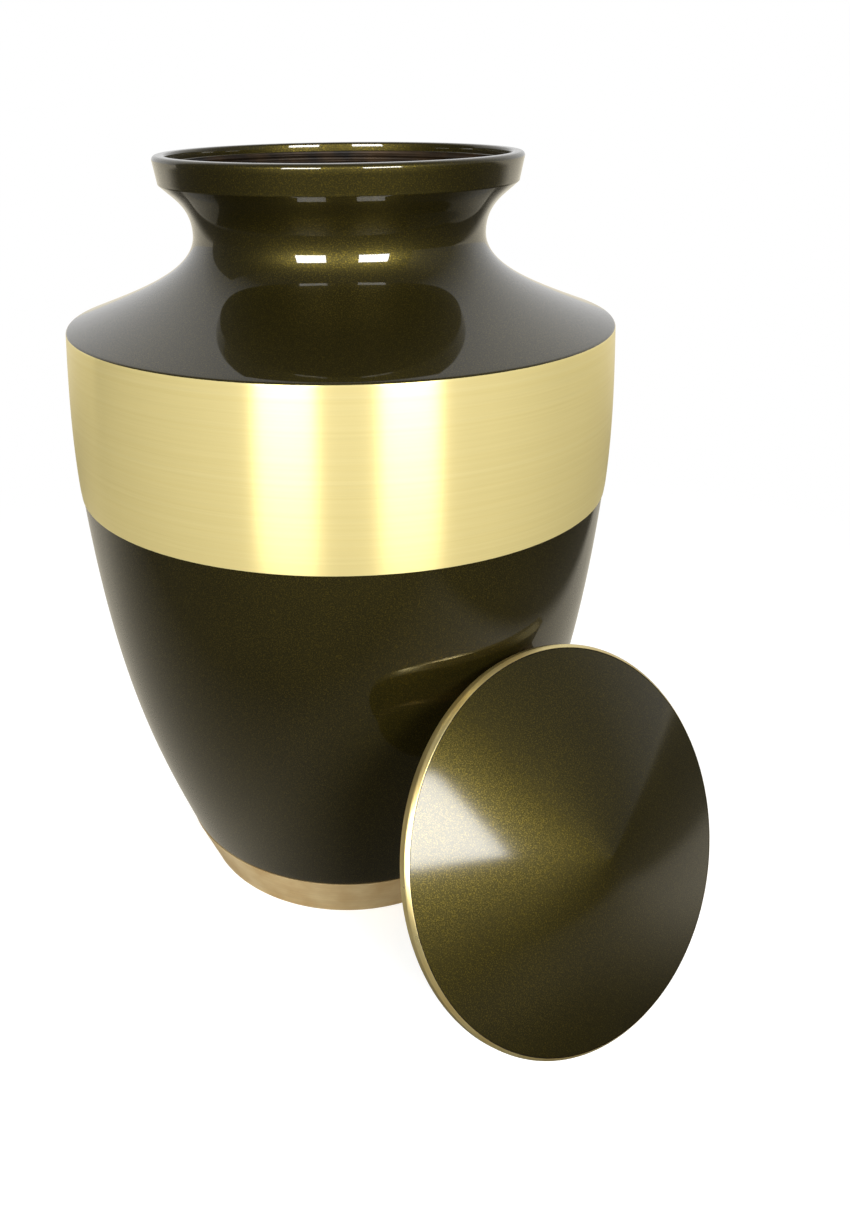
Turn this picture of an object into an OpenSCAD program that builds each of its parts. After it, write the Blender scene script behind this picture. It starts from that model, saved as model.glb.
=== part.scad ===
// Cremation urn: a turned brass vessel, and its screw lid leaning against it.
// Millimetres. +Z is up along the vessel's axis. The origin is the centre of the underside of the
// foot, on the surface that the urn stands on. The lid leans at the front, toward -Y and +X.

/* [Vessel] */
// Height from the underside of the foot to the top of the lip
height = 230; // [215:1:260]
// Thickness of the brass wall
wall = 2.2; // [1.6:0.1:3]
// Thickness of the vessel's floor
floor_t = 3; // [2:0.5:5]

/* [Foot ring] */
// Diameter of the foot ring where it stands
foot_bottom_d = 99.4; // [80:0.2:115]
// Diameter of the foot ring at its top
foot_top_d = 112.2; // [95:0.2:125]
// Height of the foot ring
foot_h = 16.1; // [10:0.1:22]
// Bevel round the underside of the foot ring
foot_bevel = 0.6; // [0.2:0.1:1.5]
// Depth of the line turned between the bare foot ring and the lacquer
paint_line = 0.4; // [0.2:0.1:0.8]

/* [Body] */
// Diameter of the body at the lower edge of the brass band
body_d = 161.8; // [140:0.2:180]
// Height of the lower edge of the brass band
band_bottom_z = 134.7; // [110:0.1:150]
// Steepness of the body where it leaves the foot, in degrees above the horizontal
body_start_deg = 69.7; // [60:0.1:80]
// Steepness of the body where it meets the band, in degrees above the horizontal
body_end_deg = 86.2; // [80:0.1:92]
// How far the curve of the body holds its direction at the foot
body_start_pull = 33.7; // [15:0.1:50]
// How far the curve of the body holds its direction at the band
body_end_pull = 59.9; // [20:0.1:65]

/* [Brass band] */
// How far the band stands proud of the lacquer below it
band_proud = 0.4; // [0.2:0.1:1]
// Height of the band
band_h = 48.2; // [30:0.1:60]
// Diameter at the top of the band
band_top_d = 161.1; // [140:0.1:180]
// Lean of the band at its top edge, in degrees above the horizontal
band_top_deg = 93.8; // [90:0.1:97]
// Bevel on the lower edge of the band
band_bevel = 0.4; // [0.2:0.1:0.8]

/* [Shoulder and neck] */
// Radius of the edge between the band and the shoulder
shoulder_edge_r = 1; // [0.5:0.1:4]
// Direction of the shoulder where it leaves that edge, in degrees above the horizontal
shoulder_deg = 159.9; // [150:0.1:170]
// How far the shoulder holds its direction
shoulder_pull = 23.1; // [10:0.1:30]
// Diameter of the neck at its narrowest
neck_d = 84.8; // [70:0.2:96]
// How far below the top of the lip the neck is narrowest
neck_drop = 21.7; // [16:0.1:28]
// How far the neck runs straight below its narrowest place
neck_pull_down = 10; // [5:0.1:14]
// How far the neck runs straight above its narrowest place
neck_pull_up = 7.5; // [3:0.1:9]

/* [Lip] */
// Diameter of the lip at its top
lip_d = 104.9; // [98:0.1:112]
// Height of the face of the lip
lip_h = 7.9; // [6:0.1:9]
// How much the face of the lip leans out from its lower edge to its top, on the radius
lip_flare = 1.1; // [0:0.1:2]
// Size of the rounded corner under the lip
lip_corner = 0.7; // [0.3:0.1:1.5]
// Direction of the underside of the lip where it meets that corner, in degrees above the horizontal
lip_under_deg = 42.5; // [30:0.5:55]
// How far the underside of the lip holds its direction
lip_under_pull = 4.8; // [2:0.1:8]
// Radius of the rounded outer edge on top of the lip
lip_round = 1.2; // [0.5:0.1:1.8]

/* [Mouth] */
// Diameter of the threaded bore in the mouth
mouth_d = 96; // [88:0.1:98]
// How much wider the relief above the thread is, on the radius
relief_step = 0.8; // [0.4:0.1:1.2]
// Depth of that relief
relief_h = 2.6; // [1.5:0.1:4]
// Rounding on the inner edge of the lip
mouth_round = 0.8; // [0.4:0.1:1.2]

/* [Lid] */
// Diameter of the lid
lid_d = 112.5; // [106:0.1:118]
// Height of the lid's upright edge
lid_edge_h = 2.2; // [1.5:0.1:4]
// Bevel between the edge and the dome
lid_bevel = 0.9; // [0.5:0.1:2]
// Depth and width of the line between the bare edge and the lacquer
lid_line = 0.3; // [0.1:0.1:0.5]
// Rise of the cone-shaped dome
dome_h = 15; // [6:0.5:22]
// How round the dome is: 1 is a straight cone, 2 is a round cap
dome_power = 1.3; // [1.15:0.05:2]
// Thickness of the lid's wall
lid_wall = 1.6; // [1.2:0.1:2.4]
// Radial clearance between the lid's plug and the mouth
thread_clearance = 0.4; // [0.2:0.1:0.8]
// Length of the lid's threaded plug
plug_h = 7; // [5:0.1:7.4]
// Thickness of the plug's wall
plug_wall = 2; // [1.5:0.1:3]
// Bevel that breaks the sharp edges of the rim and the plug
edge_break = 0.3; // [0.1:0.1:0.5]

/* [Leaning lid] */
// Bearing of the lid from the vessel's axis, in degrees from -Y toward +X
lid_bearing = 36.3; // [0:0.1:90]
// Way that the lid faces, in degrees from -Y toward +X
lid_facing = 34.6; // [0:0.1:90]
// How far the lid leans back from upright
lid_lean = 24; // [15:0.1:40]
// Clearance between the lid and the body where it leans on it
lean_gap = 0.3; // [0.1:0.1:0.8]

/* [Hidden] */
$fn = 180;

foot_bottom_r = foot_bottom_d / 2;
foot_top_r = foot_top_d / 2;
body_r = body_d / 2;
band_top_r = band_top_d / 2;
band_top_z = band_bottom_z + band_h;
neck_r = neck_d / 2;
neck_z = height - neck_drop;
lip_r = lip_d / 2;
lip_low_r = lip_r - lip_flare;
lip_low_z = height - lip_h;
mouth_r = mouth_d / 2;
relief_r = mouth_r + relief_step;
relief_z = height - relief_h;
lid_r = lid_d / 2;
plug_r = mouth_r - thread_clearance;
dome_r = lid_r - lid_bevel - lid_line;
dome_z = lid_edge_h + lid_bevel;
dome_steps = 16;

// A point on the cubic curve through p[0] and p[3], pulled toward p[1] and p[2].
function bezier(p, t) =
    pow(1 - t, 3) * p[0] + 3 * t * pow(1 - t, 2) * p[1] + 3 * t * t * (1 - t) * p[2] + pow(t, 3) * p[3];

// The direction of that curve.
function bezier_way(p, t) =
    pow(1 - t, 2) * (p[1] - p[0]) + 2 * t * (1 - t) * (p[2] - p[1]) + t * t * (p[3] - p[2]);

// The unit normal on the left of a direction, which is the hollow side of an outline drawn upward.
function left_of(way) = [-way[1], way[0]] / norm(way);

function heading(deg) = [cos(deg), sin(deg)];

// A smooth curve from a to b that leaves at a_deg and arrives at b_deg, set inward by inset.
function sweep(a, a_deg, a_pull, b, b_deg, b_pull, steps, inset = 0) =
    let (p = [a, a + a_pull * heading(a_deg), b - b_pull * heading(b_deg), b])
    [for (i = [0:steps]) bezier(p, i / steps) + inset * left_of(bezier_way(p, i / steps))];

// An arc about c from from_deg to to_deg.
function arc(c, r, from_deg, to_deg, steps) =
    [for (i = [0:steps]) c + r * heading(from_deg + (to_deg - from_deg) * i / steps)];

// The body from the foot ring up to the band.
function body_curve(inset = 0) =
    sweep([foot_top_r, foot_h + paint_line], body_start_deg, body_start_pull,
        [body_r, band_bottom_z], body_end_deg, body_end_pull, 22, inset);

// The band, bulging very slightly.
function band_curve(out, inset = 0) =
    sweep([body_r + out, band_bottom_z], body_end_deg, band_h / 3,
        [band_top_r, band_top_z], band_top_deg, band_h / 3, 8, inset);

// The rounded edge between the band and the shoulder.
shoulder_edge = arc([band_top_r, band_top_z] - shoulder_edge_r * heading(band_top_deg - 90),
    shoulder_edge_r, band_top_deg - 90, shoulder_deg - 90, 5);
shoulder_start = shoulder_edge[len(shoulder_edge) - 1];

// The shoulder, sweeping up into the neck.
function shoulder_curve(inset = 0) =
    sweep(shoulder_start, shoulder_deg, shoulder_pull,
        [neck_r, neck_z], 90, neck_pull_down, 20, inset);

// The neck, flaring out under the lip.
lip_under = [lip_low_r - lip_corner, lip_low_z - lip_corner / 2];
function flare_curve(inset = 0) =
    sweep([neck_r, neck_z], 90, neck_pull_up, lip_under, lip_under_deg, lip_under_pull, 12, inset);

// The whole outside of the vessel from the foot to the top of the lip.
outside = concat(
    [[foot_bottom_r - foot_bevel, 0], [foot_bottom_r, foot_bevel], [foot_top_r, foot_h]],
    [[foot_top_r - paint_line, foot_h + paint_line / 2]],
    body_curve(),
    [[body_r + band_proud - band_bevel, band_bottom_z]],
    [for (p = band_curve(band_proud)) if (p[1] > band_bottom_z + band_bevel && p[1] < band_top_z) p],
    shoulder_edge,
    [for (p = shoulder_curve()) if (p[0] < shoulder_start[0]) p],
    [for (p = flare_curve()) if (p[1] > neck_z) p],
    [[lip_low_r, lip_low_z]],
    arc([lip_r - lip_round, height - lip_round], lip_round, 0, 90, 6));

// The inside of the vessel from the floor to the lower end of the mouth's bore.
foot_slope = (foot_top_r - foot_bottom_r) / foot_h;
inner_top_r = band_top_r - wall;
flare_inside = [for (p = flare_curve(wall)) if (p[1] > neck_z && p[0] < mouth_r) p];
bore_low_z = flare_inside[len(flare_inside) - 1][1] + 0.6;
inside = concat(
    [[0, floor_t], [foot_bottom_r + floor_t * foot_slope - wall, floor_t]],
    [[foot_top_r - wall, foot_h]],
    [for (p = body_curve(wall)) if (p[1] > foot_h + wall) p],
    [for (p = band_curve(0, wall)) if (p[1] > band_bottom_z + wall && p[1] < band_top_z - wall) p],
    [for (p = shoulder_curve(wall)) if (p[0] < inner_top_r) p],
    flare_inside,
    [[mouth_r, bore_low_z], [mouth_r, relief_z], [relief_r, relief_z]],
    arc([relief_r + mouth_round, height - mouth_round], mouth_round, 180, 90, 4));

// The vessel: one turned wall between its outside and its inside.
module urn_body() {
    color("#3b3818")
        rotate_extrude()
            polygon(concat([[0, 0]], outside, [for (i = [len(inside) - 1:-1:0]) inside[i]]));
}

// The dome's height over its rim and its steepness, as rise over run, at a radius.
function dome_rise(r) = dome_h * (1 - pow(r / dome_r, dome_power));
function dome_slope(r) = dome_power * dome_h / dome_r * pow(r / dome_r, dome_power - 1);

// Half the section of the dome from a radius r_start in to the axis, set inward by inset.
function dome_curve(r_start, inset = 0) =
    [for (i = [0:dome_steps])
        let (r = r_start * (1 - i / dome_steps), s = dome_slope(r))
        [r, dome_z + dome_rise(r)] - inset * [s, 1] / norm([s, 1])];

// The lid upright, with the plane that seats on the lip at z = 0 and the dome upward.
module lid_upright() {
    plug_inner_r = plug_r - plug_wall;
    under = dome_curve(plug_inner_r, lid_wall);
    rotate_extrude()
        polygon(concat(
            [[lid_r - edge_break, 0], [lid_r, edge_break], [lid_r, lid_edge_h]],
            [[lid_r - lid_bevel, dome_z], [lid_r - lid_bevel - lid_line / 2, dome_z - lid_line]],
            dome_curve(dome_r),
            [for (i = [len(under) - 1:-1:0]) under[i]],
            [[plug_inner_r, under[0][1]]],
            [[plug_inner_r, -plug_h], [plug_r - edge_break, -plug_h], [plug_r, edge_break - plug_h]],
            [[plug_r, 0]]));
}

// A point of the leaning lid, given in the upright lid's own frame, with the lid's seat at c.
function leaned(p, c) =
    let (lean = 90 - lid_lean, y = p[1] * cos(lean) - p[2] * sin(lean))
    let (z = p[1] * sin(lean) + p[2] * cos(lean))
    [c[0] + p[0] * cos(lid_facing) - y * sin(lid_facing),
        c[1] + p[0] * sin(lid_facing) + y * cos(lid_facing), c[2] + z];

// The radius of the vessel at a height.
vessel_radius = [for (p = outside) [p[1], p[0]]];

// The edges of the lid that can touch the vessel: those of its rim and of the end of its plug.
contact_edges = [
    [lid_r - edge_break, 0], [lid_r, edge_break],
    [plug_r - edge_break, -plug_h], [plug_r, edge_break - plug_h]];

// The height that sets the lowest point of the lid's rim on the surface that the urn stands on.
lid_z = lid_r * cos(lid_lean) - edge_break * sin(lid_lean);

// The lid's seat at a distance from the vessel's axis.
function seat_at(d) = [d * sin(lid_bearing), -d * cos(lid_bearing), lid_z];

// The smallest radial gap between those edges and the vessel at that distance.
function gap_at(d) =
    min([for (e = contact_edges, a = [0:3:357])
        let (q = leaned([e[0] * cos(a), e[0] * sin(a), e[1]], seat_at(d)))
        norm([q[0], q[1]]) - lookup(q[2], vessel_radius)]);

// The distance at which the lid leans on the vessel, found by closing the gap step by step.
function leaning_distance(d, steps) =
    steps == 0 ? d : leaning_distance(d - (gap_at(d) - lean_gap), steps - 1);

module lid() {
    seat = seat_at(leaning_distance(body_r + lid_r, 12));
    color("#504b24")
        translate(seat)
            rotate([90 - lid_lean, 0, lid_facing])
                lid_upright();
}

urn_body();
lid();
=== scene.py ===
"""Cremation urn: a turned brass vessel with a metallic lacquer, a brushed brass band and a bare
foot ring, and its screw lid leaning against it. Metres, +Z up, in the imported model's frame."""
import math

import bpy
import numpy as np
from bpy.props import FloatProperty, FloatVectorProperty, IntProperty, PointerProperty
from mathutils import Euler, Matrix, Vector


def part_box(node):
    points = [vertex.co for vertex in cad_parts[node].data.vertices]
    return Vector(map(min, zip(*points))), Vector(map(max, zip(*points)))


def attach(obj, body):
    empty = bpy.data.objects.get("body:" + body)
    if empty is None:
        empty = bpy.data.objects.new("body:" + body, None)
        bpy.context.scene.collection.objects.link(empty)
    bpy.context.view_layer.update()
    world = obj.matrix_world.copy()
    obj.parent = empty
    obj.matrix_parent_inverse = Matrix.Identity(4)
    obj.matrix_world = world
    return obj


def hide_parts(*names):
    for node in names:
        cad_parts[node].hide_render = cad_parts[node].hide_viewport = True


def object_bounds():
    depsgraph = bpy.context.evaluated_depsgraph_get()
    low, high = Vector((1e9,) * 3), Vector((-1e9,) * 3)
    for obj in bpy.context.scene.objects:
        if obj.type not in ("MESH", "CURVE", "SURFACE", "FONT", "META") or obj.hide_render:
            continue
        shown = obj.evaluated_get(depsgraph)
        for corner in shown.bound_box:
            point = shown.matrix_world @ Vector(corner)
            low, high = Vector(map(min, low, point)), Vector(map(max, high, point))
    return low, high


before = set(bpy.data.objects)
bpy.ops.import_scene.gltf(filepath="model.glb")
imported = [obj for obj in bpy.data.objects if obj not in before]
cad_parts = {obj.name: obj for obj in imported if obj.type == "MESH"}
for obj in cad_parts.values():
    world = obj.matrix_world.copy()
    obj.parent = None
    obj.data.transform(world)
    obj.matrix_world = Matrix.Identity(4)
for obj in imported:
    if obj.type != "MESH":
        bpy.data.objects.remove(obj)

bl_info = {
    "name": "Cremation Urn",
    "version": (1, 0, 0),
    "blender": (4, 5, 0),
    "location": "View3D > Sidebar > Urn",
    "description": "Builds a lacquered brass cremation urn with its lid leaning against it",
    "category": "Add Mesh",
}

CAD_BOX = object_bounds()
MM = 0.001
NICK = 0.1 * MM  # the small steps beside an edge that keep it crisp under smooth shading
# Steps along the curves and threaded walls of the two sections
BODY_STEPS, BAND_STEPS, SHOULDER_STEPS, FLARE_STEPS, DOME_STEPS = 56, 20, 44, 24, 40
BORE_STEPS, PLUG_STEPS = 34, 42


def linear(code):
    """The linear colour of an sRGB hex code, with alpha 1, by the standard sRGB curve."""
    part = np.array([int(code[i:i + 2], 16) for i in (1, 3, 5)]) / 255
    lin = np.where(part <= 0.04045, part / 12.92, ((part + 0.055) / 1.055) ** 2.4)
    return (*lin.tolist(), 1.0)


BLACK, WHITE = linear("#000000"), linear("#FFFFFF")


def length(name, about, millimetres):
    """A length property with its default given in millimetres."""
    return FloatProperty(name=name, description=about, default=millimetres * MM, subtype="DISTANCE",
                         unit="LENGTH", precision=4, min=0.0)


def angle(name, about, degrees):
    """An angle property with its default given in degrees."""
    return FloatProperty(name=name, description=about, default=math.radians(degrees),
                         subtype="ANGLE")


def colour(name, about, code):
    """A colour property with its default given as an sRGB hex code."""
    return FloatVectorProperty(name=name, description=about, default=linear(code), size=4,
                               subtype="COLOR", min=0.0, max=1.0)


# ---------------------------------------------------------------- sizes and colours

class VesselSizes(bpy.types.PropertyGroup):
    """Sizes of the vessel"""
    height: length("Height", "From the underside of the foot to the top of the lip", 230)
    wall: length("Wall", "Thickness of the brass wall", 2.2)
    floor: length("Floor", "Thickness of the floor", 3)
    foot_bottom: length("Foot diameter", "Diameter of the foot ring where it stands", 99.4)
    foot_top: length("Foot top diameter", "Diameter of the foot ring at its top", 112.2)
    foot_height: length("Foot height", "Height of the foot ring", 16.1)
    foot_bevel: length("Foot bevel", "Bevel round the underside of the foot", 0.6)
    paint_line: length("Paint line", "Depth of the line between the foot ring and the lacquer", 0.4)
    body: length("Body diameter", "Diameter at the lower edge of the band", 161.8)
    band_bottom: length("Band foot", "Height of the lower edge of the band", 134.7)
    band_height: length("Band height", "Height of the band", 48.2)
    band_top: length("Band top diameter", "Diameter at the top of the band", 161.1)
    band_proud: length("Band step", "How far the band stands proud of the lacquer below it", 0.4)
    band_bevel: length("Band bevel", "Bevel on the lower edge of the band", 0.4)
    body_start: angle("Body rise at foot", "Steepness of the body at the foot", 69.7)
    body_end: angle("Body rise at band", "Steepness of the body at the band", 86.2)
    body_start_pull: length("Body pull at foot", "How far the body holds its direction there", 33.7)
    body_end_pull: length("Body pull at band", "How far the body holds its direction there", 59.9)
    band_lean: angle("Band lean", "Direction of the band at its top", 93.8)
    shoulder_edge: length("Shoulder edge", "Radius between the band and the shoulder", 1)
    shoulder: angle("Shoulder direction", "Direction of the shoulder as it leaves the edge", 159.9)
    shoulder_pull: length("Shoulder pull", "How far the shoulder holds its direction", 23.1)
    neck: length("Neck diameter", "Diameter of the neck at its narrowest", 84.8)
    neck_drop: length("Neck drop", "Narrowest place below the top of the lip", 21.7)
    neck_pull_down: length("Neck pull down", "How far the neck runs straight below", 10)
    neck_pull_up: length("Neck pull up", "How far the neck runs straight above", 7.5)
    lip: length("Lip diameter", "Diameter of the lip at its top", 104.9)
    lip_height: length("Lip height", "Height of the face of the lip", 7.9)
    lip_flare: length("Lip flare", "How much the face of the lip leans out", 1.1)
    lip_corner: length("Lip corner", "Size of the corner under the lip", 0.7)
    lip_under: angle("Lip underside", "Direction of the underside of the lip", 42.5)
    lip_under_pull: length("Lip underside pull", "How far the underside holds its direction", 4.8)
    lip_round: length("Lip rounding", "Radius of the outer edge on top of the lip", 1.2)
    mouth: length("Mouth diameter", "Diameter of the threaded bore", 96)
    relief_step: length("Relief step", "How much wider the relief above the thread is", 0.8)
    relief_height: length("Relief height", "Depth of the relief above the thread", 2.6)
    mouth_round: length("Mouth rounding", "Radius of the inner edge of the lip", 0.8)


class LidSizes(bpy.types.PropertyGroup):
    """Sizes of the lid, and how it leans"""
    diameter: length("Lid diameter", "Diameter of the lid over its edge", 112.5)
    edge: length("Edge", "Height of the upright edge", 2.2)
    bevel: length("Bevel", "Bevel between the edge and the dome", 0.9)
    line: length("Line", "Depth and width of the line inside the bevel", 0.3)
    dome: length("Dome rise", "Rise of the cone-shaped dome", 15)
    dome_power: FloatProperty(name="Dome roundness", default=1.3, min=1.0, max=2.0,
                              description="1 is a straight cone, 2 a round cap")
    wall: length("Wall", "Thickness of the lid's wall", 1.6)
    clearance: length("Thread clearance", "Between the plug and the bore, on the radius", 0.4)
    plug_height: length("Plug length", "Length of the threaded plug", 7)
    plug_wall: length("Plug wall", "Thickness of the plug's wall", 2)
    edge_break: length("Edge break", "Bevel on the sharp edges", 0.3)
    facing: angle("Facing", "Way that the lid faces, from -Y toward +X", 34.6)
    lean: angle("Lean", "How far the lid leans back from upright", 24)


class ThreadSizes(bpy.types.PropertyGroup):
    """Sizes of the screw thread in the mouth and on the plug"""
    pitch: length("Pitch", "Height of one turn", 1.75)
    depth: length("Depth", "Height of the thread's ridge", 0.55)
    plug_depth: length("Plug depth", "Height of the ridge on the lid's plug", 0.3)
    around: IntProperty(name="Divisions", description="Steps round each turned piece", default=256,
                        min=64, max=512)


class Finishes(bpy.types.PropertyGroup):
    """Colours of the finishes"""
    lacquer: colour("Lacquer", "Ground colour of the metallic lacquer", "#342E0D")
    flake: colour("Flake", "Colour of the flakes in the lacquer", "#584C15")
    band: colour("Brushed brass", "Brushed brass under clear lacquer", "#D8C888")
    edge: colour("Lid edge", "Satin turned brass of the lid's edge", "#E8D698")
    turned: colour("Turned brass", "Plain turned brass of the foot ring", "#B8A277")
    # The inside colour is partly darkened brass and partly painted shade of the hollows
    inside: colour("Inside", "Darkened brass inside the vessel", "#120D07")
    under: colour("Lid underside", "Plain turned brass under the lid", "#B79858")
    floor: colour("Floor", "Pale floor", "#E6E6E4")
    reflected: colour("Floor in reflections", "Warm white of the floor in the lacquer", "#F4ECD8")
    surround: colour("Surround", "White surround", "#FFFFFF")
    unlit: colour("Unlit room", "Unlit side of the room, in reflections", "#4A4A48")


class StageSizes(bpy.types.PropertyGroup):
    """Places of the camera and the lights"""
    camera_distance: length("Camera distance", "From the vessel's axis, along -Y", 325.3)
    camera_height: length("Camera height", "Above the floor", 247.65)
    pitch: angle("Pitch", "How far the camera looks down", 23.52)
    yaw: angle("Yaw", "How far the camera turns toward +X", 0.39)
    roll: angle("Roll", "How far the camera is turned about its own axis", -0.75)
    focal: FloatProperty(name="Focal length", description="In millimetres, on a 36 mm sensor",
                         default=32.03, subtype="DISTANCE_CAMERA", min=10, max=200)
    shift_x: FloatProperty(name="Shift X", default=0.0609,
                           description="Sideways shift of the framing")
    shift_y: FloatProperty(name="Shift Y", default=-0.0442,
                           description="Upward shift of the framing")
    window_distance: length("Window distance", "From the vessel's axis to each window light", 900)
    window_radiance: FloatProperty(name="Window brightness", description="1 is the white surround",
                                   default=28.0, min=0.0)
    ambient: FloatProperty(name="Ambient", description="Soft light from all round", default=0.65,
                           min=0.0, max=2.0)
    left_window: angle("Left window", "Bearing of the left window, from -Y toward +X", -21.5)
    right_window: angle("Right window", "Bearing of the right window, from -Y toward +X", 25.2)
    window_spread: angle("Window width", "Width of each window as seen from the vessel", 22.5)
    window_level: FloatProperty(name="Window level", default=0.9, min=0.0, max=1.0,
                                description="Height that the windows are measured from, as a "
                                            "share of the urn's height")
    window_low: angle("Window foot", "Lower edge of each window above that level", 4)
    window_high: angle("Window head", "Upper edge of each window above that level", 25)
    window_diffuse: FloatProperty(name="Window diffuse share", default=0.35, min=0.0, max=1.0,
                                  description="Share of a window's light that matt surfaces get")
    card_distance: length("Card distance", "From the vessel's axis to the unlit room", 1300)
    card_height: length("Card height", "Height of the unlit room", 1500)
    card_start: angle("Card start", "Left end of the unlit room, from -Y toward +X", -112)
    card_end: angle("Card end", "Right end of the unlit room, from -Y toward +X", 55)
    floor_half: length("Floor half-width", "From the vessel's axis to the floor's sides", 6000)
    floor_lift: FloatProperty(name="Floor lift", default=0.35, min=0.0, max=1.0,
                              description="How far the floor is lifted to white where it is seen")


# ---------------------------------------------------------------- turned shapes

def heading(a):
    """The unit vector at an angle above the horizontal, in the plane of a profile."""
    return np.array([math.cos(a), math.sin(a)])


def sweep(start, start_angle, start_pull, end, end_angle, end_pull, steps, inset=0.0):
    """Points of a cubic curve that leaves start and reaches end in the given directions.

    The curve is the usual cubic Bezier sum, B(t) = (1-t)^3 a + 3t(1-t)^2 b + 3t^2(1-t) c + t^3 d,
    moved along its own left-hand normal by inset."""
    a, d = np.array(start), np.array(end)
    b = a + start_pull * heading(start_angle)
    c = d - end_pull * heading(end_angle)
    t = np.linspace(0, 1, steps + 1)[:, None]
    points = (1 - t) ** 3 * a + 3 * t * (1 - t) ** 2 * b + 3 * t ** 2 * (1 - t) * c + t ** 3 * d
    way = (1 - t) ** 2 * (b - a) + 2 * t * (1 - t) * (c - b) + t ** 2 * (d - c)
    left = np.stack([-way[:, 1], way[:, 0]], 1) / np.linalg.norm(way, axis=1, keepdims=True)
    return points + inset * left


def arc(centre, radius, start_angle, end_angle, steps):
    """Points of an arc about centre, evenly spaced in angle."""
    a = np.linspace(start_angle, end_angle, steps + 1)[:, None]
    return np.array(centre) + radius * np.concatenate([np.cos(a), np.sin(a)], 1)


def line(start, end, steps=1):
    """Points evenly spaced from start to end."""
    t = np.linspace(0, 1, steps + 1)[:, None]
    return np.array(start) * (1 - t) + np.array(end) * t


def join(sections):
    """One profile out of (points, finish) sections, and the finish of each of its segments.

    A segment takes the finish of the section that holds its far end."""
    points = np.concatenate([np.atleast_2d(p) for p, _ in sections])
    finish = np.concatenate([np.full(len(np.atleast_2d(p)), f) for p, f in sections])
    apart = np.ones(len(points), bool)
    apart[1:] = np.linalg.norm(np.diff(points, axis=0), axis=1) > 1e-6
    return points[apart], finish[apart][1:]


def ridge(z, theta, low, high, pitch):
    """Height from 0 to 1 of a screw thread's ridge: a cosine that climbs one pitch a turn,
    sharpened by a power, and faded to nothing over half a pitch at both ends."""
    sharpness, run_out = 1.5, pitch / 2
    wave = 0.5 + 0.5 * np.cos(2 * np.pi * z / pitch - theta)
    fade = np.clip((z - low) / run_out, 0, 1) * np.clip((high - z) / run_out, 0, 1)
    return wave ** sharpness * fade


def turned(profile, around, thread=None):
    """Vertices and faces of a profile turned about Z, from pole to pole.

    A point (r, z) of the profile at the angle theta is (r cos theta, r sin theta, z). A thread is
    (radius, low, high, pitch, depth): where the profile runs along that radius between those
    heights, r changes by depth times the ridge. Each pole is one vertex with a fan of
    triangles."""
    r, z = profile[1:-1, 0:1], profile[1:-1, 1:2]
    theta = np.linspace(0, 2 * np.pi, around, endpoint=False)[None, :]
    r = np.repeat(r, around, 1)
    if thread:
        at, low, high, pitch, depth = thread
        on_wall = np.abs(r - at) < NICK / 5
        r = r + np.where(on_wall, depth * ridge(z, theta, low, high, pitch), 0)
    grid = np.stack([r * np.cos(theta), r * np.sin(theta), np.repeat(z, around, 1)], -1)
    rows = len(grid)
    verts = np.concatenate([grid.reshape(-1, 3), [[0, 0, profile[0, 1]], [0, 0, profile[-1, 1]]]])
    step = np.arange(around)
    after = (step + 1) % around
    base = np.arange(rows - 1)[:, None] * around
    quads = np.stack([base + step, base + after, base + around + after, base + around + step], -1)
    top = (rows - 1) * around
    first = np.stack([np.full(around, rows * around), after, step], 1)
    last = np.stack([np.full(around, rows * around + 1), top + step, top + after], 1)
    return verts, quads.reshape(-1, 4), first, last


def build(name, profile, finish, materials, around, thread=None, place=None, sharp=24):
    """A closed turned mesh as an object, with one material slot for each finish."""
    verts, quads, first, last = turned(profile, around, thread)
    if place is not None:
        verts = verts @ place[:3, :3].T + place[:3, 3]
    mesh = bpy.data.meshes.new(name)
    mesh.from_pydata(verts.tolist(), [], first.tolist() + quads.tolist() + last.tolist())
    per_face = np.concatenate([np.full(around, finish[0]), np.repeat(finish[1:-1], around),
                               np.full(around, finish[-1])])
    for material in materials:
        mesh.materials.append(material)
    mesh.polygons.foreach_set("material_index", per_face.astype(np.int32))
    mesh.polygons.foreach_set("use_smooth", np.ones(len(per_face), bool))
    mesh.set_sharp_from_angle(angle=math.radians(sharp))
    mesh.update()
    piece = bpy.data.objects.new(name, mesh)
    bpy.context.scene.collection.objects.link(piece)
    return piece


LACQUER, BAND, TURNED, INSIDE = range(4)


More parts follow.
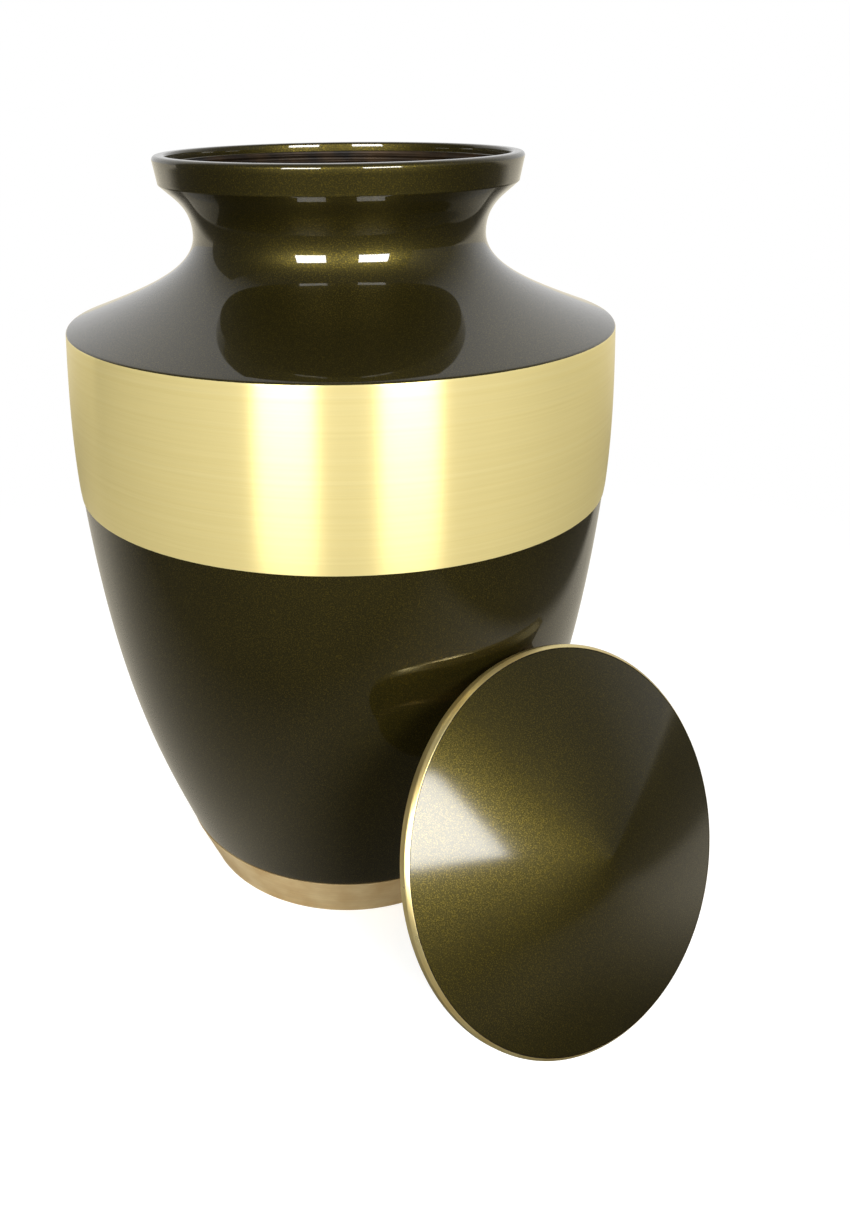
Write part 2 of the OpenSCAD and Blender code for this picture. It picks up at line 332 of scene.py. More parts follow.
def vessel_profile(s, thread):
    """The vessel's whole section: under the foot, up the outside, over the lip, down the inside.

    The inside is the outside set in by the wall, and the mouth's bore is a straight wall."""
    foot_low, foot_high = s.foot_bottom / 2, s.foot_top / 2
    body, mouth = s.body / 2, s.mouth / 2
    band_low, band_top = s.band_bottom, s.band_top / 2
    band_z = band_low + s.band_height
    neck, neck_z = s.neck / 2, s.height - s.neck_drop
    lip, lip_z = s.lip / 2, s.height - s.lip_height
    lip_low = lip - s.lip_flare
    relief_z = s.height - s.relief_height
    relief = mouth + s.relief_step

    def body_curve(inset=0.0):
        return sweep((foot_high, s.foot_height + s.paint_line), s.body_start, s.body_start_pull,
                     (body, band_low), s.body_end, s.body_end_pull, BODY_STEPS, inset)

    def band_curve(out, inset=0.0):
        return sweep((body + out, band_low), s.body_end, s.band_height / 3,
                     (band_top, band_z), s.band_lean, s.band_height / 3, BAND_STEPS, inset)

    quarter = math.pi / 2
    edge = arc((band_top, band_z) - s.shoulder_edge * heading(s.band_lean - quarter),
               s.shoulder_edge, s.band_lean - quarter, s.shoulder - quarter, 8)

    def shoulder_curve(inset=0.0):
        return sweep(edge[-1], s.shoulder, s.shoulder_pull,
                     (neck, neck_z), quarter, s.neck_pull_down, SHOULDER_STEPS, inset)

    def flare_curve(inset=0.0):
        under = (lip_low - s.lip_corner, lip_z - s.lip_corner / 2)
        return sweep((neck, neck_z), quarter, s.neck_pull_up,
                     under, s.lip_under, s.lip_under_pull, FLARE_STEPS, inset)

    band = band_curve(s.band_proud)
    band = band[(band[:, 1] > band_low + s.band_bevel) & (band[:, 1] < band_z)]
    foot_in = s.foot_bevel
    # The corner under the lip is an arc of 54 degrees, placed by shares of its own radius.
    corner_start, corner_centre, corner_end = -0.6 * quarter, 0.8 * s.lip_corner, 1.6 * s.lip_corner
    outside = [
        (line((0, 0), (foot_low - foot_in, 0), 12), TURNED),
        (arc((foot_low - foot_in, foot_in), foot_in, -quarter, 0, 4), TURNED),
        (line((foot_low, foot_in), (foot_high, s.foot_height - 2 * NICK), 8), TURNED),
        (line((foot_high - NICK / 2, s.foot_height),
              (foot_high - s.paint_line, s.foot_height)), TURNED),
        (line((foot_high - s.paint_line, s.foot_height + s.paint_line / 2),
              (foot_high - NICK, s.foot_height + s.paint_line)), LACQUER),
        (body_curve()[1:], LACQUER),
        ([(body + s.band_proud - s.band_bevel, band_low)], LACQUER),
        ([(body + s.band_proud - s.band_bevel / 4, band_low + s.band_bevel / 4)], BAND),
        (band, BAND),
        (edge[:4], BAND),
        (edge[4:], LACQUER),
        (shoulder_curve()[1:], LACQUER),
        (flare_curve()[1:], LACQUER),
        (arc((lip_low - s.lip_corner, lip_z + corner_centre), s.lip_corner, corner_start, 0, 5),
         LACQUER),
        (line((lip_low + NICK, lip_z + corner_end), (lip, s.height - s.lip_round), 4), LACQUER),
        (arc((lip - s.lip_round, s.height - s.lip_round), s.lip_round, 0, quarter, 8), LACQUER),
        (arc((relief + s.mouth_round, s.height - s.mouth_round), s.mouth_round,
             quarter, 2 * quarter, 6), LACQUER),
    ]
    flare_inside = flare_curve(s.wall)
    flare_inside = flare_inside[(flare_inside[:, 1] > neck_z) & (flare_inside[:, 0] < mouth)]
    bore_low = flare_inside[-1, 1] + 6 * NICK
    shoulder_inside = shoulder_curve(s.wall)
    shoulder_inside = shoulder_inside[shoulder_inside[:, 0] < band_top - s.wall]
    band_inside = band_curve(0, s.wall)
    band_inside = band_inside[(band_inside[:, 1] > band_low + s.wall)
                              & (band_inside[:, 1] < band_z - s.wall)]
    body_inside = body_curve(s.wall)
    body_inside = body_inside[body_inside[:, 1] > s.foot_height + s.wall]
    slope = (foot_high - foot_low) / s.foot_height
    inside = [
        (line((relief, relief_z + 2 * NICK), (relief, relief_z + NICK)), LACQUER),
        (line((relief - NICK, relief_z), (mouth + NICK, relief_z)), LACQUER),
        (line((mouth, relief_z - NICK), (mouth, bore_low), BORE_STEPS), INSIDE),
        (flare_inside[::-2], INSIDE),
        (shoulder_inside[::-2], INSIDE),
        (band_inside[::-2], INSIDE),
        (body_inside[::-2], INSIDE),
        ([(foot_high - s.wall, s.foot_height)], INSIDE),
        (line((foot_low + s.floor * slope - s.wall, s.floor), (0, s.floor), 8), INSIDE),
    ]
    points, finish = join(outside + inside)
    return points, finish, (mouth, bore_low, relief_z, thread.pitch, -thread.depth)


LID_LACQUER, LID_EDGE, LID_UNDER, LID_DARK = range(4)


def lid_profile(s, vessel, thread):
    """The lid's whole section, upright: from the tip of the dome inside, out along the underside,
    round the plug and the rim, and back up the outside of the dome.

    The dome's height over its rim at a radius r is h (1 - (r / R)^p), and its underside is that
    curve set in by the wall. The radii close up toward the rim by a power."""
    rim, plug = s.diameter / 2, vessel.mouth / 2 - s.clearance
    dome_r, dome_z = rim - s.bevel - s.line, s.edge + s.bevel
    inner = plug - s.plug_wall
    closing = 1.3

    def dome_curve(start, inset=0.0, steps=DOME_STEPS):
        r = start * np.linspace(1, 0, steps + 1) ** closing
        rise = s.dome * (1 - (r / dome_r) ** s.dome_power)
        slope = s.dome_power * s.dome / dome_r * (r / dome_r) ** (s.dome_power - 1)
        normal = np.stack([slope, np.ones_like(slope)], 1)
        normal /= np.linalg.norm(normal, axis=1, keepdims=True)
        return np.stack([r, dome_z + rise], 1) - inset * normal

    under = dome_curve(inner, s.wall, DOME_STEPS // 2)
    under[-1, 0] = 0
    brk = s.edge_break
    # The dark finish inside the lid, under its rim and in the line inside the bevel is partly
    # painted shade
    points, finish = join([
        (under[::-1], LID_DARK),
        (line((inner, under[0, 1]), (inner, -s.plug_height), 4), LID_DARK),
        (line((inner + NICK, -s.plug_height), (plug - brk, -s.plug_height)), LID_UNDER),
        (line((plug, brk - s.plug_height), (plug, -NICK), PLUG_STEPS), LID_UNDER),
        (line((plug, 0), (rim - brk, 0), 4), LID_DARK),
        (arc((rim - brk, brk), brk, -math.pi / 2, 0, 3), LID_EDGE),
        (line((rim, brk), (rim, s.edge - NICK)), LID_EDGE),
        (line((rim - NICK / 2, s.edge),
              (rim - s.bevel + 0.8 * NICK, dome_z - NICK / 2), 2), LID_EDGE),
        ([(rim - s.bevel - NICK / 2, dome_z)], LID_EDGE),
        ([(rim - s.bevel - s.line / 2, dome_z - s.line)], LID_DARK),
        (dome_curve(dome_r)[:1], LID_DARK),
        (dome_curve(dome_r)[1:], LID_LACQUER),
    ])
    return points, finish, (plug, brk - s.plug_height, 0, thread.pitch, thread.plug_depth)


def lid_place(s, points, around):
    """The matrix that leans the upright lid back, turns it, and sets its box on the CAD lid's."""
    turn = Euler((math.pi / 2 - s.lean, 0, s.facing), "XYZ").to_matrix().to_4x4()
    place = np.array(turn)
    verts = turned(points, around)[0] @ place[:3, :3].T
    low, high = (np.array(corner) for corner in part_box("lid"))
    place[:3, 3] = ((low - verts.min(0)) + (high - verts.max(0))) / 2
    return place


# ---------------------------------------------------------------- materials

def add(tree, kind, sockets=None, stops=(), **settings):
    """Add a node with its settings, and give each named input a value or a link.

    Stops are the (position, colour) pairs of a colour ramp, from low to high."""
    node = tree.nodes.new(kind)
    if stops:
        elements = node.color_ramp.elements
        elements.remove(elements[1])
        elements[0].position, elements[0].color = stops[0]
        for position, value in stops[1:]:
            elements.new(position).color = value
    for key, value in settings.items():
        setattr(node, key, value)
    for key, value in (sockets or {}).items():
        if isinstance(value, bpy.types.NodeSocket):
            tree.links.new(value, node.inputs[key])
        else:
            node.inputs[key].default_value = value
    return node


def new_material(name):
    """An empty node material and its output node."""
    material = bpy.data.materials.new(name)
    material.use_nodes = True
    tree = material.node_tree
    tree.nodes.clear()
    return material, tree, add(tree, "ShaderNodeOutputMaterial")


def mixed(low, high, amount):
    """The colour a share of the way from low to high."""
    return tuple(a + (b - a) * amount for a, b in zip(low, high))


def metallic_lacquer(name, ground, flake, coat, gloss):
    """Bronze-olive metallic lacquer, sprayed over the brass and clear-coated.

    Fine flakes lie in a dark ground under a smooth clear coat. To the eye they give a deep,
    slightly grainy glow round each highlight, and the clear coat gives reflections over it."""
    # Real flakes are about 0.05 mm: they are drawn at 0.28 mm so that they show. The sprayed coat
    # drifts slowly over about 30 mm, and has a faint orange peel of about 5 mm.
    flake_size, glint_size, drift_size, peel_size = 0.28 * MM, 0.25 * MM, 30 * MM, 5 * MM
    material, tree, out = new_material(name)
    where = add(tree, "ShaderNodeTexCoord").outputs["Object"]
    flakes = add(tree, "ShaderNodeTexNoise", {"Vector": where, "Scale": 1 / flake_size,
                                              "Detail": 2.0})
    spread = add(tree, "ShaderNodeTexVoronoi", {"Vector": where, "Scale": 1 / glint_size})
    drift = add(tree, "ShaderNodeTexNoise", {"Vector": where, "Scale": 1 / drift_size,
                                             "Detail": 1.0})
    grain = add(tree, "ShaderNodeValToRGB", {"Fac": flakes.outputs["Fac"]}, stops=(
        (0.34, mixed(ground, BLACK, 0.2)), (0.52, ground), (0.68, flake)))
    tint = add(tree, "ShaderNodeValToRGB", {"Fac": drift.outputs["Fac"]},
               stops=((0.3, linear("#EDEDED")), (0.7, WHITE)))
    base = add(tree, "ShaderNodeMix", {"Factor": 1.0, "A": grain.outputs["Color"],
                                       "B": tint.outputs["Color"]},
               data_type="RGBA", blend_type="MULTIPLY")
    tilt = add(tree, "ShaderNodeBump", {"Strength": 0.05, "Distance": 0.05 * MM,
                                        "Height": spread.outputs["Distance"]})
    peel_noise = add(tree, "ShaderNodeTexNoise", {"Vector": where, "Scale": 1 / peel_size,
                                                  "Detail": 0.0})
    peel = add(tree, "ShaderNodeBump", {"Strength": 0.03, "Distance": 0.1 * MM,
                                        "Height": peel_noise.outputs["Fac"]})
    rough = add(tree, "ShaderNodeMapRange", {"Value": flakes.outputs["Fac"], "From Min": 0.3,
                                             "From Max": 0.7, "To Min": 0.5, "To Max": 0.4})
    shader = add(tree, "ShaderNodeBsdfPrincipled", {
        "Base Color": base.outputs["Result"], "Metallic": 0.9, "Roughness": rough.outputs["Result"],
        "Normal": tilt.outputs["Normal"], "Coat Weight": coat, "Coat Roughness": gloss,
        "Coat IOR": 1.5, "Coat Normal": peel.outputs["Normal"]})
    tree.links.new(shader.outputs["BSDF"], out.inputs["Surface"])
    return material


def brushed_brass(name, brass):
    """Brass brushed on the lathe with an abrasive pad, then clear-lacquered.

    The scratches run round the axis. To the eye they draw each light out into an upright streak
    with soft edges, crossed by very fine level lines."""
    # The scratches are some 25 mm long and 0.3 mm apart, drawn coarser than the real 0.1 mm so
    # that they show. The pad leaves fainter bands 1.5 mm apart that run right round.
    scratch_length, scratch_gap, pad_gap = 25 * MM, 0.3 * MM, 1.5 * MM
    material, tree, out = new_material(name)
    where = add(tree, "ShaderNodeTexCoord").outputs["Object"]
    along = add(tree, "ShaderNodeMapping", {
        "Vector": where, "Scale": (1 / scratch_length, 1 / scratch_length, 1 / scratch_gap)})
    fine = add(tree, "ShaderNodeTexNoise", {"Vector": along.outputs["Vector"], "Scale": 1.0,
                                            "Detail": 3.0, "Roughness": 0.6})
    wide_map = add(tree, "ShaderNodeMapping", {"Vector": where, "Scale": (1, 1, 1 / pad_gap)})
    wide = add(tree, "ShaderNodeTexNoise", {"Vector": wide_map.outputs["Vector"], "Scale": 1.0,
                                            "Detail": 2.0})
    shade = add(tree, "ShaderNodeValToRGB", {"Fac": fine.outputs["Fac"]}, stops=(
        (0.3, mixed(brass, BLACK, 0.05)), (0.5, mixed(brass, BLACK, 0.02)),
        (0.7, brass)))
    warm = add(tree, "ShaderNodeValToRGB", {"Fac": wide.outputs["Fac"]},
               stops=((0.35, linear("#FBF9F3")), (0.65, WHITE)))
    base = add(tree, "ShaderNodeMix", {"Factor": 1.0, "A": shade.outputs["Color"],
                                       "B": warm.outputs["Color"]},
               data_type="RGBA", blend_type="MULTIPLY")
    scratch = add(tree, "ShaderNodeBump", {"Strength": 0.06, "Distance": 0.01 * MM,
                                           "Height": fine.outputs["Fac"]})
    around = add(tree, "ShaderNodeTangent", direction_type="RADIAL", axis="Z")
    # The scratched metal throws each light up and down, and the haze of the scratches spreads
    # some of it all ways.
    streak = add(tree, "ShaderNodeBsdfPrincipled", {
        "Base Color": base.outputs["Result"], "Metallic": 1.0, "Roughness": 0.3, "Anisotropic": 1.0,
        "Anisotropic Rotation": 0.25, "Tangent": around.outputs["Tangent"],
        "Normal": scratch.outputs["Normal"], "Coat Weight": 0.2, "Coat Roughness": 0.12})
    spread = add(tree, "ShaderNodeBsdfPrincipled", {
        "Base Color": base.outputs["Result"], "Metallic": 0.1, "Roughness": 0.6})
    shader = add(tree, "ShaderNodeMixShader", {"Fac": 0.45, 1: streak.outputs["BSDF"],
                                               2: spread.outputs["BSDF"]})
    tree.links.new(shader.outputs["Shader"], out.inputs["Surface"])
    return material


def turned_brass(name, brass, spacing, roughness, metallic, axis=Matrix()):
    """Plain turned brass, left as it came off the lathe tool and gone slightly dull.

    Fine rings run round the piece's own axis, the Z of the matrix axis, and it has a soft, even,
    slightly pinkish-tan sheen."""
    # A ring stays even for some 40 mm. Handling leaves dull patches of about 12 mm.
    ring_length, patch_size = 40 * MM, 12 * MM
    material, tree, out = new_material(name)
    where = add(tree, "ShaderNodeTexCoord").outputs["Object"]
    rings_map = add(tree, "ShaderNodeMapping", {
        "Vector": where, "Location": axis.to_translation(), "Rotation": axis.to_euler(),
        "Scale": (ring_length, ring_length, spacing)}, vector_type="TEXTURE")
    rings = add(tree, "ShaderNodeTexNoise", {"Vector": rings_map.outputs["Vector"], "Scale": 1.0,
                                             "Detail": 3.0})
    patches = add(tree, "ShaderNodeTexNoise", {"Vector": where, "Scale": 1 / patch_size,
                                               "Detail": 3.0})
    shade = add(tree, "ShaderNodeValToRGB", {"Fac": rings.outputs["Fac"]},
                stops=((0.3, mixed(brass, BLACK, 0.14)), (0.7, brass)))
    dull = add(tree, "ShaderNodeValToRGB", {"Fac": patches.outputs["Fac"]},
               stops=((0.35, linear("#E6DCCB")), (0.65, WHITE)))
    base = add(tree, "ShaderNodeMix", {"Factor": 1.0, "A": shade.outputs["Color"],
                                       "B": dull.outputs["Color"]},
               data_type="RGBA", blend_type="MULTIPLY")
    rough = add(tree, "ShaderNodeMapRange", {"Value": patches.outputs["Fac"], "From Min": 0.3,
                                             "From Max": 0.7, "To Min": roughness + 0.08,
                                             "To Max": roughness - 0.04})
    cut = add(tree, "ShaderNodeBump", {"Strength": 0.3, "Distance": 0.02 * MM,
                                       "Height": rings.outputs["Fac"]})
    shader = add(tree, "ShaderNodeBsdfPrincipled", {
        "Base Color": base.outputs["Result"], "Metallic": metallic,
        "Roughness": rough.outputs["Result"], "Normal": cut.outputs["Normal"]})
    tree.links.new(shader.outputs["BSDF"], out.inputs["Surface"])
    return material


def darkened_brass_and_shade(name, dark):
    """The inside of the vessel: cast brass, darkened and left unpolished.

    It is rough and nearly black, with a faint brown mottle of about 9 mm and pits of 0.8 mm. The
    near-black is partly the darkened brass and partly painted shade of the hollow inside."""
    mottle_size, pit_size = 9 * MM, 0.8 * MM
    material, tree, out = new_material(name)
    where = add(tree, "ShaderNodeTexCoord").outputs["Object"]
    mottle = add(tree, "ShaderNodeTexNoise", {"Vector": where, "Scale": 1 / mottle_size,
                                              "Detail": 5.0})
    pits = add(tree, "ShaderNodeTexNoise", {"Vector": where, "Scale": 1 / pit_size,
                                            "Detail": 3.0})
    base = add(tree, "ShaderNodeValToRGB", {"Fac": mottle.outputs["Fac"]}, stops=(
        (0.35, mixed(dark, BLACK, 0.4)), (0.65, mixed(dark, linear("#6B4E25"), 0.18))))
    bump = add(tree, "ShaderNodeBump", {"Strength": 0.3, "Distance": 0.1 * MM,
                                        "Height": pits.outputs["Fac"]})
    shader = add(tree, "ShaderNodeBsdfPrincipled", {
        "Base Color": base.outputs["Color"], "Metallic": 0.6, "Roughness": 0.55,
        "Normal": bump.outputs["Normal"]})
    tree.links.new(shader.outputs["BSDF"], out.inputs["Surface"])
    return material


def pale_floor(name, pale, white, warm, lift):
    """A matt white sheet that fades into the white surround.

    Near the object it takes light and shadow, lifted to white where it is seen. Further out it
    becomes the plain white of the surround. In reflections the sheet is an emitter of painted
    light and shade: white close behind the object, dimming toward the front left, and ending a
    hand's width out, where the dark room begins. A painted shadow of the leaning lid darkens it
    where the lid stands."""
    # Distances in metres from the vessel's axis, as (start, end) of each change
    fade, dimming, right_edge, round_edge = (0.16, 0.42), (-0.2, 0.0), (0.2, 0.235), (0.34, 0.46)
    room_fade, painted_lid_shadow, lid_stands = (0.35, 0.8), (0.04, 0.11), (0.05, -0.075, 0)
    # Painted light and shade of the sheet in reflections, where 1 is the white surround
    dim, bright, dark_room, painted_shadow_darkest = 0.1, 0.62, 0.07, 0.15
    # Slopes of the two slanting lines across the sheet: its dimming and its right edge
    dimming_slope, edge_slope = 0.5, -0.234
    material, tree, out = new_material(name)
    where = add(tree, "ShaderNodeTexCoord").outputs["Object"]
    reach = add(tree, "ShaderNodeVectorMath", {0: where}, operation="LENGTH")
    far = add(tree, "ShaderNodeMapRange", {"Value": reach.outputs["Value"], "From Min": fade[0],
                                           "From Max": fade[1]}, interpolation_type="SMOOTHSTEP")
    path = add(tree, "ShaderNodeLightPath").outputs
    seen = path["Is Camera Ray"]
    sheet = add(tree, "ShaderNodeBsdfDiffuse", {"Color": pale})
    glow = add(tree, "ShaderNodeMath", {0: seen, 1: lift}, operation="MULTIPLY")
    lifted = add(tree, "ShaderNodeEmission", {"Color": white, "Strength": glow.outputs["Value"]})
    near = add(tree, "ShaderNodeAddShader", {0: sheet.outputs["BSDF"],
                                             1: lifted.outputs["Emission"]})
    outer = add(tree, "ShaderNodeEmission", {"Color": white, "Strength": seen})
    both = add(tree, "ShaderNodeMixShader", {"Fac": far.outputs["Result"],
                                             1: near.outputs["Shader"],
                                             2: outer.outputs["Emission"]})
    part = add(tree, "ShaderNodeSeparateXYZ", {"Vector": where}).outputs
    # Painted light and shade in reflections: brighter toward the back, darker toward the front left
    toward_back = add(tree, "ShaderNodeMath", {0: part["X"], 1: dimming_slope, 2: part["Y"]},
                      operation="MULTIPLY_ADD")
    lit = add(tree, "ShaderNodeMapRange", {
        "Value": toward_back.outputs["Value"], "From Min": dimming[0], "From Max": dimming[1],
        "To Min": dim, "To Max": bright})
    toward_right = add(tree, "ShaderNodeMath", {0: part["Y"], 1: edge_slope, 2: part["X"]},
                       operation="MULTIPLY_ADD")
    right_end = add(tree, "ShaderNodeMapRange", {
        "Value": toward_right.outputs["Value"], "From Min": right_edge[0],
        "From Max": right_edge[1]}, interpolation_type="SMOOTHSTEP")
    round_end = add(tree, "ShaderNodeMapRange", {
        "Value": reach.outputs["Value"], "From Min": round_edge[0],
        "From Max": round_edge[1]}, interpolation_type="SMOOTHSTEP")
    ending = add(tree, "ShaderNodeMath", {0: right_end.outputs["Result"],
                                          1: round_end.outputs["Result"]}, operation="MAXIMUM")
    room = add(tree, "ShaderNodeMapRange", {
        "Value": part["Y"], "From Min": room_fade[0], "From Max": room_fade[1],
        "To Min": dark_room, "To Max": 1.0}, interpolation_type="SMOOTHSTEP")
    level = add(tree, "ShaderNodeMix", {"Factor": ending.outputs["Value"],
                                        "A": lit.outputs["Result"], "B": room.outputs["Result"]})
    # Painted shadow of the leaning lid: the reflected sheet darkens round where the lid stands
    under_lid = add(tree, "ShaderNodeMapping", {
        "Vector": where, "Location": tuple(-place for place in lid_stands)})
    off_lid = add(tree, "ShaderNodeVectorMath", {0: under_lid.outputs["Vector"]},
                  operation="LENGTH")
    # shade is the painted shadow's share, from its darkest under the lid to none further out
    shade = add(tree, "ShaderNodeMapRange", {
        "Value": off_lid.outputs["Value"], "From Min": painted_lid_shadow[0], "From Max": painted_lid_shadow[1],
        "To Min": painted_shadow_darkest, "To Max": 1.0}, interpolation_type="SMOOTHSTEP")
    level_in_painted_shadow = add(tree, "ShaderNodeMath", {0: level.outputs["Result"],
                                          1: shade.outputs["Result"]}, operation="MULTIPLY")
    # In reflections the sheet glows with this painted light and shade instead of taking real light
    mirrored = add(tree, "ShaderNodeEmission", {"Color": warm,
                                                "Strength": level_in_painted_shadow.outputs["Value"]})
    whole = add(tree, "ShaderNodeMixShader", {"Fac": path["Is Glossy Ray"],
                                              1: both.outputs["Shader"],
                                              2: mirrored.outputs["Emission"]})
    tree.links.new(whole.outputs["Shader"], out.inputs["Surface"])
    return material


def painted_dark_room(name, grey):
    """A matt grey glowing card that only reflections see: a painted reflection of the unlit side of
    the room, behind the camera.
    """
    material, tree, out = new_material(name)
    glow = add(tree, "ShaderNodeEmission", {"Color": grey, "Strength": 1.0})
    tree.links.new(glow.outputs["Emission"], out.inputs["Surface"])
    return material


# ---------------------------------------------------------------- operators

class URN_OT_vessel(bpy.types.Operator):
    """Build the turned brass vessel in place of its plain solid"""
    bl_idname = "urn.vessel"
    bl_label = "Build the Vessel"

    def execute(self, context):
        scene = context.scene
        points, finish, thread = vessel_profile(scene.urn_vessel, scene.urn_thread)
        colours = scene.urn_finishes
        materials = [
            metallic_lacquer("bronze metallic lacquer", colours.lacquer[:], colours.flake[:],
                             coat=1.0, gloss=0.03),
            brushed_brass("lathe-brushed brass", colours.band[:]),
            turned_brass("plain turned brass", colours.turned[:], spacing=0.35 * MM,
                         roughness=0.45, metallic=0.35),
            darkened_brass_and_shade("darkened cast brass and painted shade", colours.inside[:]),
        ]
        piece = build("urn_vessel", points, finish, materials, scene.urn_thread.around, thread)
        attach(piece, "root")
        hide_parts("urn_body")
        return {"FINISHED"}


class URN_OT_lid(bpy.types.Operator):
    """Build the screw lid in place of its plain solid, leaning against the vessel"""
    bl_idname = "urn.lid"
    bl_label = "Build the Lid"

    def execute(self, context):
        scene = context.scene
        sizes, around = scene.urn_lid, scene.urn_thread.around
        points, finish, thread = lid_profile(sizes, scene.urn_vessel, scene.urn_thread)
        colours = scene.urn_finishes
        place = lid_place(sizes, points, around)
        axis = Matrix(place.tolist())
        materials = [
            metallic_lacquer("bronze metallic lacquer of the lid", colours.lacquer[:],
                             colours.flake[:], coat=0.6, gloss=0.12),
            turned_brass("turned brass edge of the lid", colours.edge[:], spacing=0.3 * MM,
                         roughness=0.3, metallic=0.9, axis=axis),
            turned_brass("turned brass under the lid", colours.under[:], spacing=0.6 * MM,
                         roughness=0.4, metallic=0.9, axis=axis),
            darkened_brass_and_shade("darkened brass and painted shade of the lid", colours.inside[:]),
        ]
        piece = build("urn_lid", points, finish, materials, around, thread, place)
        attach(piece, "root")
        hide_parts("lid")
        return {"FINISHED"}


def flat_sheet(name, corners, material):
    """A flat four-cornered stage sheet."""
    mesh = bpy.data.meshes.new(name)
    mesh.from_pydata(corners, [], [(0, 1, 2, 3)])
    mesh.materials.append(material)
    sheet = bpy.data.objects.new(name, mesh)
    bpy.context.scene.collection.objects.link(sheet)


def curved_card(name, radius, start, end, height, material):
    """An upright card bent round the object on the camera's side: a grid over bearing and height,
    (R sin b, -R cos b, z)."""
    columns = 25
    bearing, z = np.meshgrid(np.linspace(start, end, columns), (0, height))
    grid = np.stack([radius * np.sin(bearing), -radius * np.cos(bearing), z], -1)
    across = np.arange(columns - 1)
    faces = np.stack([across, across + 1, across + columns + 1, across + columns], 1)
    mesh = bpy.data.meshes.new(name)
    mesh.from_pydata(grid.reshape(-1, 3).tolist(), [], faces.tolist())
    mesh.materials.append(material)
    card = bpy.data.objects.new(name, mesh)
    bpy.context.scene.collection.objects.link(card)
    return card


def reflections_only(thing):
    """Hide a stage card from everything but reflections."""
    thing.visible_camera = False
    thing.visible_diffuse = False
    thing.visible_shadow = False
    thing.visible_transmission = False


def window_light(name, s, bearing, level):
    """A tall soft window light that faces the vessel from a bearing."""
    wide = 2 * s.window_distance * math.tan(s.window_spread / 2)
    low = level + s.window_distance * math.tan(s.window_low)
    high = level + s.window_distance * math.tan(s.window_high)
    data = bpy.data.lights.new(name, "AREA")
    data.shape = "RECTANGLE"
    data.size, data.size_y = wide, high - low
    data.energy = s.window_radiance * math.pi * wide * (high - low)
    data.diffuse_factor = s.window_diffuse
    lamp = bpy.data.objects.new(name, data)
    lamp.location = (s.window_distance * math.sin(bearing), -s.window_distance * math.cos(bearing),
                     (low + high) / 2)
    lamp.rotation_euler = (math.pi / 2, 0, bearing)
    bpy.context.scene.collection.objects.link(lamp)


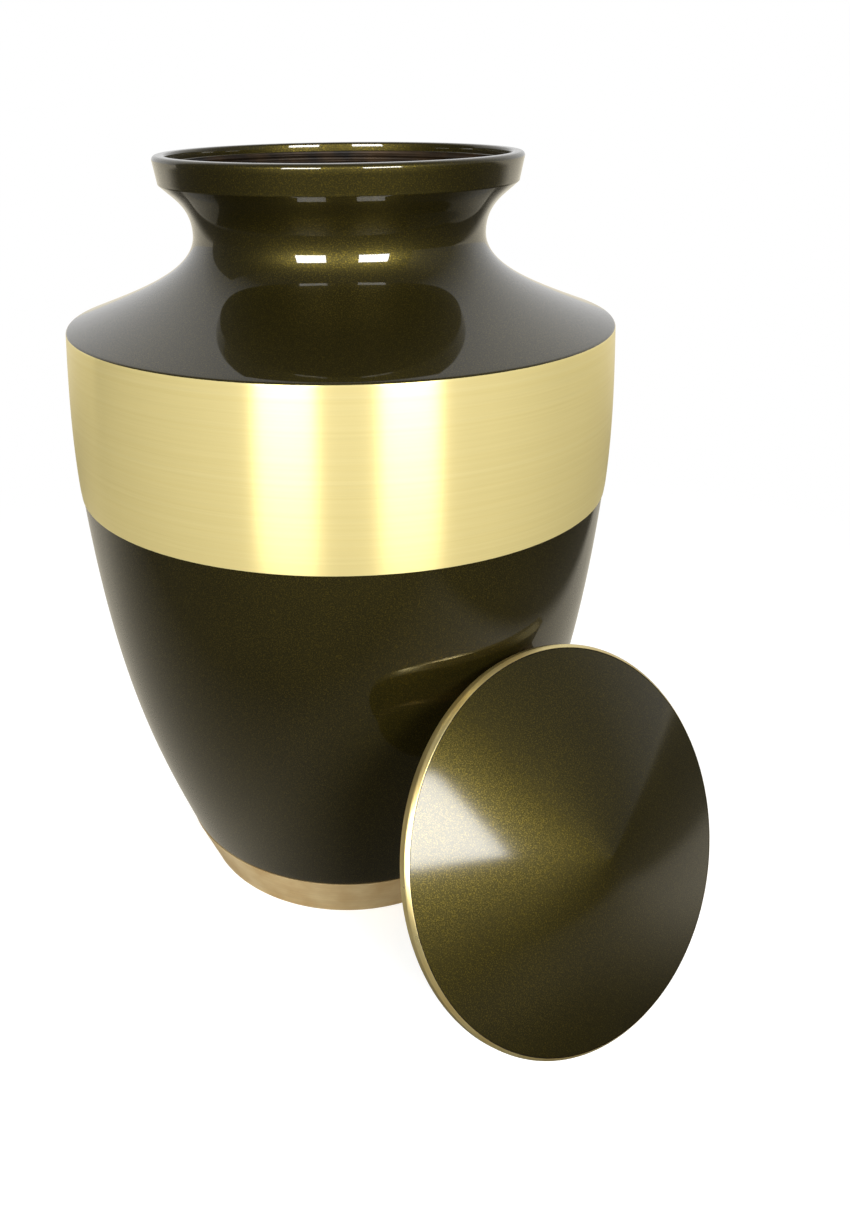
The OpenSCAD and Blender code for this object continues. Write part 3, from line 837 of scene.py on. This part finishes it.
class URN_OT_stage(bpy.types.Operator):
    """Set the pale floor, the white surround, the window lights and the camera"""
    bl_idname = "urn.stage"
    bl_label = "Set the Stage"

    def execute(self, context):
        scene = context.scene
        s, colours = scene.urn_stage, scene.urn_finishes
        white, half = colours.surround[:], s.floor_half
        corners = [(x * half, y * half, 0) for x, y in ((-1, -1), (1, -1), (1, 1), (-1, 1))]
        flat_sheet("floor", corners,
                   pale_floor("matt white sheet", colours.floor[:], white, colours.reflected[:],
                              s.floor_lift))
        # Painted reflection of the unlit room, seen only in reflections
        reflections_only(curved_card("room_card", s.card_distance, s.card_start, s.card_end,
                                     s.card_height, painted_dark_room("unlit room", colours.unlit[:])))
        world = bpy.data.worlds.new("white surround")
        world.use_nodes = True
        tree = world.node_tree
        tree.nodes.clear()
        # Reflections see white behind the urn, a wide soft light on the right, and a dim room
        # overhead. The spans are shares of a unit direction, and the levels are of the surround.
        right_span, back_span = (0.5, 0.9), (0.05, 0.6)
        overhead, right_light, behind = 0.1, 0.25, 0.8
        way = add(tree, "ShaderNodeTexCoord").outputs["Generated"]
        toward = add(tree, "ShaderNodeSeparateXYZ", {"Vector": way}).outputs
        right = add(tree, "ShaderNodeMapRange", {
            "Value": toward["X"], "From Min": right_span[0], "From Max": right_span[1],
            "To Min": overhead, "To Max": right_light}, interpolation_type="SMOOTHSTEP")
        mirrored = add(tree, "ShaderNodeMapRange", {
            "Value": toward["Y"], "From Min": back_span[0], "From Max": back_span[1],
            "To Min": right.outputs["Result"], "To Max": behind})
        path = add(tree, "ShaderNodeLightPath").outputs
        unseen = add(tree, "ShaderNodeMix", {"Factor": path["Is Glossy Ray"], "A": s.ambient,
                                             "B": mirrored.outputs["Result"]})
        level = add(tree, "ShaderNodeMix", {"Factor": path["Is Camera Ray"],
                                            "A": unseen.outputs["Result"], "B": 1.0})
        sky = add(tree, "ShaderNodeBackground", {"Color": white,
                                                 "Strength": level.outputs["Result"]})
        end = add(tree, "ShaderNodeOutputWorld")
        tree.links.new(sky.outputs["Background"], end.inputs["Surface"])
        scene.world = world
        window_base = CAD_BOX[1][2] * s.window_level
        window_light("left_window", s, s.left_window, window_base)
        window_light("right_window", s, s.right_window, window_base)
        data = bpy.data.cameras.new("camera")
        data.lens, data.sensor_width, data.sensor_fit = s.focal, 36, "AUTO"
        data.shift_x, data.shift_y = s.shift_x, s.shift_y
        data.clip_start = 0.01
        camera = bpy.data.objects.new("camera", data)
        turn = Euler((math.pi / 2 - s.pitch, 0, -s.yaw), "XYZ").to_matrix()
        turn = (turn @ Matrix.Rotation(s.roll, 3, "Z")).to_4x4()
        camera.matrix_world = Matrix.Translation((0, -s.camera_distance, s.camera_height)) @ turn
        scene.collection.objects.link(camera)
        scene.camera = camera
        scene.view_settings.view_transform = "Standard"
        return {"FINISHED"}


class URN_PT_panel(bpy.types.Panel):
    """Sizes, finishes and steps of the urn"""
    bl_idname = "URN_PT_panel"
    bl_label = "Cremation Urn"
    bl_space_type = "VIEW_3D"
    bl_region_type = "UI"
    bl_category = "Urn"

    def draw(self, context):
        layout = self.layout
        for operator in OPERATORS:
            layout.operator(operator.bl_idname)
        for group in GROUPS:
            box = layout.box()
            settings = getattr(context.scene, group)
            for name in settings.bl_rna.properties.keys():
                if name not in {"rna_type", "name"}:
                    box.prop(settings, name)


GROUPS = {
    "urn_vessel": VesselSizes,
    "urn_lid": LidSizes,
    "urn_thread": ThreadSizes,
    "urn_finishes": Finishes,
    "urn_stage": StageSizes,
}
OPERATORS = (URN_OT_vessel, URN_OT_lid, URN_OT_stage)


def register():
    """Register the classes, and give the scene its groups of sizes and colours."""
    for cls in (*GROUPS.values(), *OPERATORS, URN_PT_panel):
        bpy.utils.register_class(cls)
    for name, group in GROUPS.items():
        setattr(bpy.types.Scene, name, PointerProperty(type=group))


def unregister():
    """Take back all that register gave."""
    for name in GROUPS:
        delattr(bpy.types.Scene, name)
    for cls in (URN_PT_panel, *OPERATORS[::-1], *list(GROUPS.values())[::-1]):
        bpy.utils.unregister_class(cls)


def main():
    """Register the classes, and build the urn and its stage."""
    register()
    bpy.ops.urn.stage()
    bpy.ops.urn.vessel()
    bpy.ops.urn.lid()


if __name__ == "__main__":
    main()
